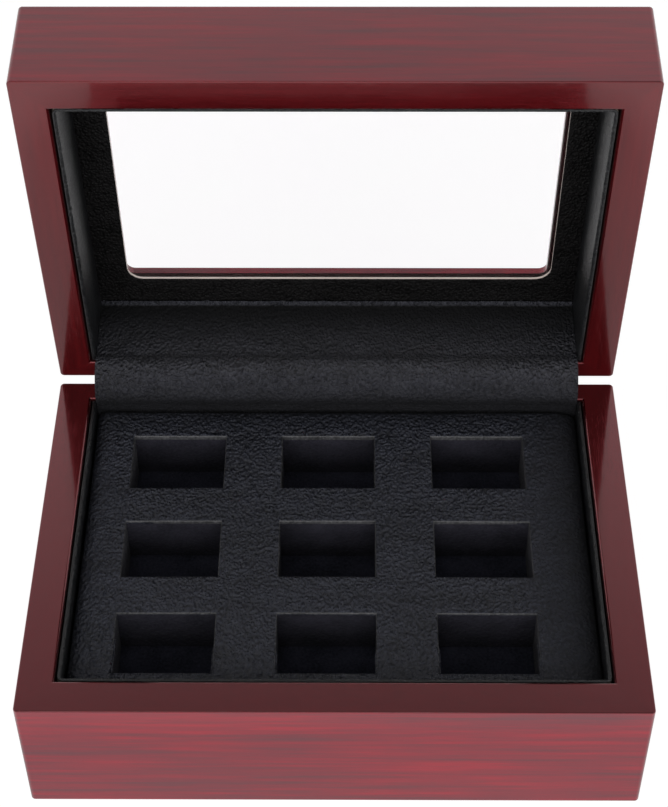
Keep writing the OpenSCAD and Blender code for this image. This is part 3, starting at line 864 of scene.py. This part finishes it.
def shade_share(x, y, z):
    """How deep in shade the cushion's leatherette lies: most of all down at its sides."""
    gaps = (x - SKIN_X[0], SKIN_X[1] - x, y - SKIN_Y[0], SKIN_Y[1] - y)
    shade = max(most * max(0.0, 1 - gap / reach) for gap, (reach, most) in zip(gaps, SKIN_SHADES))
    below = min(1.0, max(0.0, (SIDE_SHADE_Z - z) / SIDE_SHADE_DROP))
    return max(shade, SIDE_SHADE * below if min(gaps) < SIDE_REACH else 0.0)


def cushion_grid(inset, step):
    """Grid lines and slot holes for a layer of the cushion that lies inset under its surface."""
    a, b = (size / 2 + inset for size in SLOT_SIZE)
    holes = [(x - a, x + a, y - b, y + b) for x in SLOT_X for y in SLOT_Y]
    spans = []
    for axis, (low, high) in enumerate((SKIN_X, SKIN_Y)):
        marks = {(hole[2 * axis + side], 2 * side - 1) for hole in holes for side in (0, 1)}
        edges = CUSHION_EDGES[2 * axis : 2 * axis + 2]
        spans.append(lines(low + inset, high - inset, edges, marks, HOLE_EDGE, step))
    return (*spans, holes)


def cushion_sides(foot, bottom, steps):
    """Side levels that tuck in evenly from the foot of the rounding to the bottom."""
    return [(CUSHION_TUCK * k / steps, foot - (foot - bottom) * k / steps) for k in range(1, steps + 1)]


def make_cushion_skin():
    """The cushion's leatherette, whose sides bulge out to the lining."""
    xs, ys, holes = cushion_grid(0.0, 1.4)
    top = padded_top(xs, ys, CUSHION_TOP, holes=holes, **PADDING)
    lip_levels = [(0.0, CUSHION_TOP - HOLE_EDGE - HOLE_LIP)]
    sides = cushion_sides(CUSHION_TOP - CUSHION_DROP - CUSHION_RISE, SLOT_CARD_Z, 8)
    points, faces = slotted_block(xs, ys, holes, top, lip_levels, sides)
    # Painted shade on the cushion's leatherette, darker towards its sides and back.
    skin = add_piece(
        "cushion_leatherette", points, faces, [CUSHION_LEATHER, EDGE_LEATHER], None, ["cushion_leather"],
        sharp=SKIN_SHARP, shade_values=[shade_share(*point) for point in points],
    )
    # The slots' rounded edges take the paler leatherette, a painted highlight.
    for polygon in skin.data.polygons:
        x, y, z = (c / MM for c in polygon.center)
        gap = min(gap_to(hole, x, y) for hole in holes)
        polygon.material_index = int(gap < 0.45 * HOLE_EDGE and z > CUSHION_TOP - HOLE_EDGE - 0.3)
    shell = skin.modifiers.new("thickness", "SOLIDIFY")
    shell.thickness, shell.offset = 0.9 * LEATHER_T * MM, -1
    apply_modifiers(skin)
    soften(skin.data, SKIN_SHARP)
    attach(skin, "base")


def make_cushion_foam():
    """The foam under the leatherette, whose slot walls are a little hollow and undercut at the foot."""
    behind, wall_play, steps = LEATHER_T + 0.05, 0.02, 10
    hollow, undercut, undercut_z = 0.12, 1.6, 0.9
    xs, ys, holes = cushion_grid(behind, 3.0)
    top = padded_top(xs, ys, CUSHION_TOP - behind, holes=holes, **PADDING)
    shelf = CUSHION_TOP - HOLE_EDGE - HOLE_LIP - 0.1
    wall = [(0.0, CUSHION_TOP - HOLE_EDGE - behind - 0.3), (0.0, shelf)]
    depth = shelf - SLOT_FLOOR_Z - undercut_z
    for k in range(steps + 1):
        inset = behind - hollow * math.sin(math.pi * k / steps) - wall_play
        wall.append((inset, shelf - depth * k / steps))
    wall += [(behind - undercut, SLOT_FLOOR_Z + undercut_z), (behind - undercut, SLOT_FLOOR_Z)]
    sides = cushion_sides(CUSHION_TOP - behind - CUSHION_DROP - CUSHION_RISE, SLOT_FLOOR_Z, 6)
    points, faces = slotted_block(xs, ys, holes, top, wall, sides, SLOT_FLOOR_Z)
    foam = add_piece("cushion_foam_block", points, faces, [FOAM], "base", ["cushion_foam"], sharp=45)


def make_slab(name, node, material, low, high, edge, relief, step=3.0):
    """A flat sheet or block with rounded upper edges and a slightly uneven face."""
    xs, ys = (lines(low[k], high[k], (edge, edge), step=step) for k in (0, 1))
    top = padded_top(xs, ys, high[2], [edge] * 4, edge, relief)
    points, faces = slotted_block(xs, ys, [], top, (), [(0.0, low[2])], low[2])
    return add_piece(name, points, faces, [material], "base", [node])


def make_flat_pieces():
    make_slab(
        "slot_floor_velvet", "slot_floor_card", VELVET,
        (CUSHION_X[0] + LEATHER_T, CUSHION_Y[0] + LEATHER_T, SLOT_CARD_Z),
        (CUSHION_X[1] - LEATHER_T, CUSHION_Y[1] - LEATHER_T, SLOT_FLOOR_Z),
        edge=0.4, relief=[(0.05, 2.0, 1)], step=2.0,
    )
    gap, inset = RISER_GAP, FELT_INSET
    riser = make_slab(
        "riser_foam_block", "riser_foam", RISER,
        (-LINER_INNER_X + gap, LINER_INNER_FRONT + gap, FLOOR_TOP),
        (LINER_INNER_X - gap, CUSHION_Y[1], SLOT_CARD_Z), edge=1.0, relief=[(0.15, 4.0, 6)],
    )
    felt = make_slab(
        "underside_felt_sheet", "underside_felt", FELT,
        (-HALF_W + inset, -HALF_D + inset, 0), (HALF_W - inset, HALF_D - inset, BASE_Z),
        edge=0.3, relief=[],
    )


# ---- Flap ----


def opened(y, z):
    """Where a point of the shut lid lies when the lid stands open, as (y, z)."""
    angle = math.radians(OPEN_ANGLE)
    dy, dz = y - HINGE_Y, z - HINGE_Z
    return Vector((
        HINGE_Y + dy * math.cos(angle) + dz * math.sin(angle),
        HINGE_Z - dy * math.sin(angle) + dz * math.cos(angle),
    ))


def bezier(p, t):
    s = 1 - t
    return p[0] * s**3 + p[1] * (3 * s * s * t) + p[2] * (3 * s * t * t) + p[3] * t**3


# How far the flap lies in front of the lid's back wall at four places, from the mat to the rim.
FLAP_LEAN = (2.6, 2.2, 1.7, 1.7)
CURVE_STEPS, SMOOTHINGS = 200, 4


def flap_path():
    """The flap's centreline from the mat down to its tail, as evenly spaced (y, z) points."""
    y = INNER_BACK - FLAP_GAP - FLAP_T / 2
    start = MAT_FACE_Z - FLAP_GAP
    lid_end = opened(y, LID_RIM_Z + FLAP_TURN)
    rise = start - LID_RIM_Z
    heights = (start, LID_RIM_Z + rise * 0.66, LID_RIM_Z + rise * 0.33, LID_RIM_Z + FLAP_TURN)
    in_lid = [opened(INNER_BACK - lean, z) for lean, z in zip(FLAP_LEAN, heights)]
    base_end = Vector((y, RIM_Z - FLAP_TURN))
    tuck = Vector((y - 0.2, RIM_Z - 1.2))
    along = (tuck - in_lid[-1]).normalized()
    outward = Vector((along.y, -along.x))
    bows = [in_lid[-1] + (outward + along * 0.2) * FLAP_BOW, tuck + (outward - along * 0.1) * FLAP_BOW]
    over = [in_lid[-1], *bows, tuck]
    rough = [bezier(curve, k / CURVE_STEPS) for curve in (in_lid, over) for k in range(CURVE_STEPS)]
    rough += [tuck, base_end - Vector((0, FLAP_TAIL))]
    out, carried = [rough[0]], 0.0
    for a, b in zip(rough, rough[1:]):
        length = (b - a).length
        while carried + length >= FLAP_STEP * len(out):
            out.append(a.lerp(b, (FLAP_STEP * len(out) - carried) / length))
        carried += length
    out.append(rough[-1])
    for _ in range(SMOOTHINGS):
        out[1:-1] = [(a + 2 * b + c) / 4 for a, b, c in zip(out, out[1:], out[2:])]
    return out, lid_end, base_end


# The flap's painted shade at some places, as (millimetres down from its seam, share of the deepest shade).
FLAP_SHADES = [
    (0, 0), (0.9, 0), (1.7, 1), (6, 0.96), (14, 0.75), (21, 0.45), (28, 0.42), (32, 0), (36, 0),
    (41, 0.45), (45, 0.88), (99, 1),
]


def flap_shade(run):
    """How deep in shade the flap lies, run millimetres down from its seam."""
    for (a, low), (b, high) in zip(FLAP_SHADES, FLAP_SHADES[1:]):
        if run <= b:
            return low + (high - low) * (run - a) / (b - a)
    return FLAP_SHADES[-1][1]


# The flap's waves, as (height, stretch down the flap, size, seed): two between its ends, the
# gathers along its seam, and fine unevenness all over.
FLAP_WAVES = [(0.22, 2.2, 17, 3), (0.1, 1, 5, 8), (0.3, 2, 2.4, 1), (0.05, 1, 1.7, 5)]
# How far the gathers, the seam's ridge and the rounding of the two ends reach, and the seam's bead.
GATHER_REACH, RIDGE_REACH, END_REACH, BEAD_AT = 1.2, 0.9, 0.5, 0.4


def flap_lift(x, run, left):
    """How far the flap stands off its path, run millimetres down it and left from its end."""
    free, gathered = min(1.0, run / 3) * min(1.0, left / 4), math.exp(-run / GATHER_REACH)
    lift = SEAM_LIFT * math.exp(-((run / RIDGE_REACH) ** 2))
    for share, (height, stretch, size, seed) in zip((free, free, gathered, 1), FLAP_WAVES):
        lift += share * height * wave(x, run * stretch, 0, size, seed)
    return lift


def flap_half(run, left):
    """Half the flap's thickness, which rounds off at its two ends."""
    half = FLAP_T / 2
    for end in (run, left):
        half *= math.sqrt(1 - (1 - min(1.0, (end + 0.06) / END_REACH)) ** 2)
    return half


def make_flap():
    """One sheet from the mat over the rims to behind the cushion: creased along its seam at the mat
    and gently wavy across, bent between base and lid."""
    path, lid_end, base_end = flap_path()
    count = len(path)
    columns = round(2 * FLAP_HALF_W)
    ways = [(path[min(k + 1, count - 1)] - path[max(k - 1, 0)]).normalized() for k in range(count)]
    loops = []
    for c in range(columns + 1):
        x = -FLAP_HALF_W + 2 * FLAP_HALF_W * c / columns
        near, far = [], []
        for k, (place, way) in enumerate(zip(path, ways)):
            across = Vector((way.y, -way.x))
            run, left = k * FLAP_STEP, (count - 1 - k) * FLAP_STEP
            bead = SEAM_BEAD * math.exp(-((run / BEAD_AT - 1) ** 2))
            middle, half = place + across * flap_lift(x, run, left), flap_half(run, left)
            near.append((x, *(middle + across * (half + bead))))
            far.append((x, *(middle - across * half)))
        loops.append(near + far[::-1])
    points, faces = loft(loops, "open")
    n = 2 * count
    for first in (0, len(points) - n):
        faces += [(first + k, first + k + 1, first + n - 2 - k, first + n - 1 - k) for k in range(count - 1)]
    # Painted shade along the flap, the same in each of its columns.
    shades = [flap_shade(k * FLAP_STEP) for k in range(count)]
    flap = add_piece(
        "flap_leatherette", points, faces, [FLAP_LEATHER], None, ["hinge_flap"], sharp=70,
        shade_values=(shades + shades[::-1]) * (columns + 1),
    )
    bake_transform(flap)


# ---- CAD nodes that show as they are ----


def dress_nodes():
    for side in ("left", "right"):
        for part in ("base_leaf", "lid_leaf", "pin"):
            dress_node(f"{side}_hinge_{part}", BRASS, 0.12)
    for node in ("hinge_base_screws", "hinge_lid_screws"):
        dress_node(node, BRASS)
    for node in ("base_liner_card", "lid_liner_card"):
        dress_node(node, GREY_CARD)
    dress_node("base_floor_panel", RAW_BOARD)
    dress_node("window_mat_card", CREAM_CARD)
    dress_node("glass_pane", GLASS, 0.15)


# ---- Studio ----

LENS_PX = 1905.9553
LENS_MIDDLE_PX = (335.0336, 397.4147)
PHOTO_PX = (668, 807)
CAMERA_AT = (4.3706, -432.3369, 571.9594)
CAMERA_DOWN, CAMERA_LEFT, CAMERA_ROLL = 46.0174, 0.558, -0.3076
SENSOR = 36.0


def make_camera():
    data = bpy.data.cameras.new("camera")
    data.sensor_fit, data.sensor_height = "VERTICAL", SENSOR
    data.lens = LENS_PX / PHOTO_PX[1] * SENSOR
    data.shift_x = (PHOTO_PX[0] / 2 - LENS_MIDDLE_PX[0]) / PHOTO_PX[1]
    data.shift_y = (LENS_MIDDLE_PX[1] - PHOTO_PX[1] / 2) / PHOTO_PX[1]
    data.clip_start, data.clip_end = 0.01, 50
    camera = add_object("camera", data)
    camera.matrix_world = Matrix.Translation(Vector(CAMERA_AT) * MM)
    for angle, axis in ((CAMERA_LEFT, "Z"), (90 - CAMERA_DOWN, "X"), (CAMERA_ROLL, "Z")):
        camera.matrix_world = camera.matrix_world @ Matrix.Rotation(math.radians(angle), 4, axis)
    bpy.context.scene.camera = camera


def place_in(tree, system):
    """The X, Y and Z of a place, in object or generated coordinates."""
    place = add_node(tree, "ShaderNodeTexCoord").outputs[system]
    return add_node(tree, "ShaderNodeSeparateXYZ", {0: place}).outputs


def show(tree, output, lighting, seen):
    """Lights the scene with one shader and shows the other: to the camera, in gloss and through glass."""
    path = add_node(tree, "ShaderNodeLightPath").outputs
    share = combine("MAXIMUM", path["Is Camera Ray"], path["Is Glossy Ray"])
    share = combine("MAXIMUM", share, path["Is Transmission Ray"])
    values = {0: share, 1: lighting.outputs[0], 2: seen.outputs[0]}
    mixed = add_node(tree, "ShaderNodeMixShader", values)
    add_node(tree, output, {"Surface": mixed.outputs[0]})


WHITE, FLOOR_TONE, FLOOR_SEEN_TONE = (1, 1, 1, 1), (0.8, 0.8, 0.8, 1), (0.25, 0.25, 0.25, 1)
SKY_LIGHT, FLOOR_GLOW = 0.11, 0.945
# The angles between which the sky darkens from white to the ceiling's grey, where it is seen.
SWEEP_TOP, CEILING = (46.0, 59.0), 0.35
# The floor's share of glow beside the box, a painted shadow that gloss mirrors, and the gaps in metres over
# which it comes back.
NEAR_SHADE, NEAR_RANGE, FLOOR_REACH = 0.55, (0.028, 0.05), 6.0
LAMP_AIM = Vector((0, 0, 0.08))


def make_world():
    world = bpy.data.worlds.new("studio")
    bpy.context.scene.world = world
    tree = empty_tree(world)
    lit = add_node(tree, "ShaderNodeBackground", {"Color": WHITE, "Strength": SKY_LIGHT})
    low, high = (math.sin(math.radians(angle)) for angle in SWEEP_TOP)
    pale = spread(place_in(tree, "Generated")["Z"], 1.0, CEILING, low, high)
    seen = add_node(tree, "ShaderNodeBackground", {"Color": WHITE, "Strength": pale})
    show(tree, "ShaderNodeOutputWorld", lit, seen)


def gap_to_box(tree):
    """How far a place on the floor is from the box's foot, in metres."""
    place = place_in(tree, "Object")
    squares = []
    for axis, half in (("X", HALF_W), ("Y", HALF_D)):
        past = combine("SUBTRACT", combine("ABSOLUTE", place[axis], 0), half * MM)
        squares.append(combine("POWER", combine("MAXIMUM", past, 0), 2))
    return combine("SQRT", combine("ADD", *squares), 0)


def make_floor():
    """A pale floor that glows where it is seen, less so close to the box where gloss mirrors it."""
    material = bpy.data.materials.new("pale_floor")
    tree = empty_tree(material)
    plain = add_node(tree, "ShaderNodeBsdfDiffuse", {"Color": FLOOR_TONE})
    shade = add_node(tree, "ShaderNodeBsdfDiffuse", {"Color": FLOOR_SEEN_TONE})
    less = spread(gap_to_box(tree), NEAR_SHADE - 1, 0.0, *NEAR_RANGE)
    gloss = add_node(tree, "ShaderNodeLightPath").outputs["Is Glossy Ray"]
    share = combine("ADD", 1, combine("MULTIPLY", gloss, less))
    strength = combine("MULTIPLY", share, FLOOR_GLOW)
    glow = add_node(tree, "ShaderNodeEmission", {"Color": WHITE, "Strength": strength})
    pale = add_node(tree, "ShaderNodeAddShader", {0: shade.outputs[0], 1: glow.outputs[0]})
    show(tree, "ShaderNodeOutputMaterial", plain, pale)
    mesh = bpy.data.meshes.new("floor")
    corners = [(x * FLOOR_REACH, y * FLOOR_REACH, 0) for x, y in ((-1, -1), (1, -1), (1, 1), (-1, 1))]
    mesh.from_pydata(corners, [], [(0, 1, 2, 3)])
    mesh.materials.append(material)
    add_object("floor", mesh)


def make_lamp(name, place, size, power, in_gloss):
    """An area lamp that faces the box, out of the camera's sight. Lengths are metres."""
    data = bpy.data.lights.new(name, "AREA")
    data.shape, data.size, data.size_y, data.energy = "RECTANGLE", *size, power
    lamp = add_object(name, data)
    lamp.location = place
    lamp.rotation_euler = (LAMP_AIM - Vector(place)).to_track_quat("-Z", "Y").to_euler()
    lamp.visible_camera, lamp.visible_glossy = False, in_gloss


make_camera()
make_world()
make_floor()
make_lamp("key", place=(0.0, -2.0, 0.66), size=(2.8, 1.2), power=39.0, in_gloss=False)
make_lamp("spot", place=(-0.1, -1.0, 1.2), size=(0.5, 0.4), power=1.6, in_gloss=True)
bpy.context.scene.view_settings.view_transform = "Standard"

dress_nodes()
make_walls("base", BASE_Z, FAR_EDGE, RIM_Z, (BASE_Z - 1, FLOOR_TOP), BASE_RIM_WOOD)
make_walls("lid", LID_TOP_Z, LID_TOP_EDGE, LID_RIM_Z, (PANEL_UNDER_Z, LID_TOP_Z + 1), LID_RIM_WOOD)
make_lid_panel()
make_mat_leather()
make_liner("base", LINER_TOP, FLOOR_TOP)
make_liner("lid", LID_LINER_EDGE, MAT_FACE_Z)
make_cushion_skin()
make_cushion_foam()
make_flat_pieces()
make_flap()
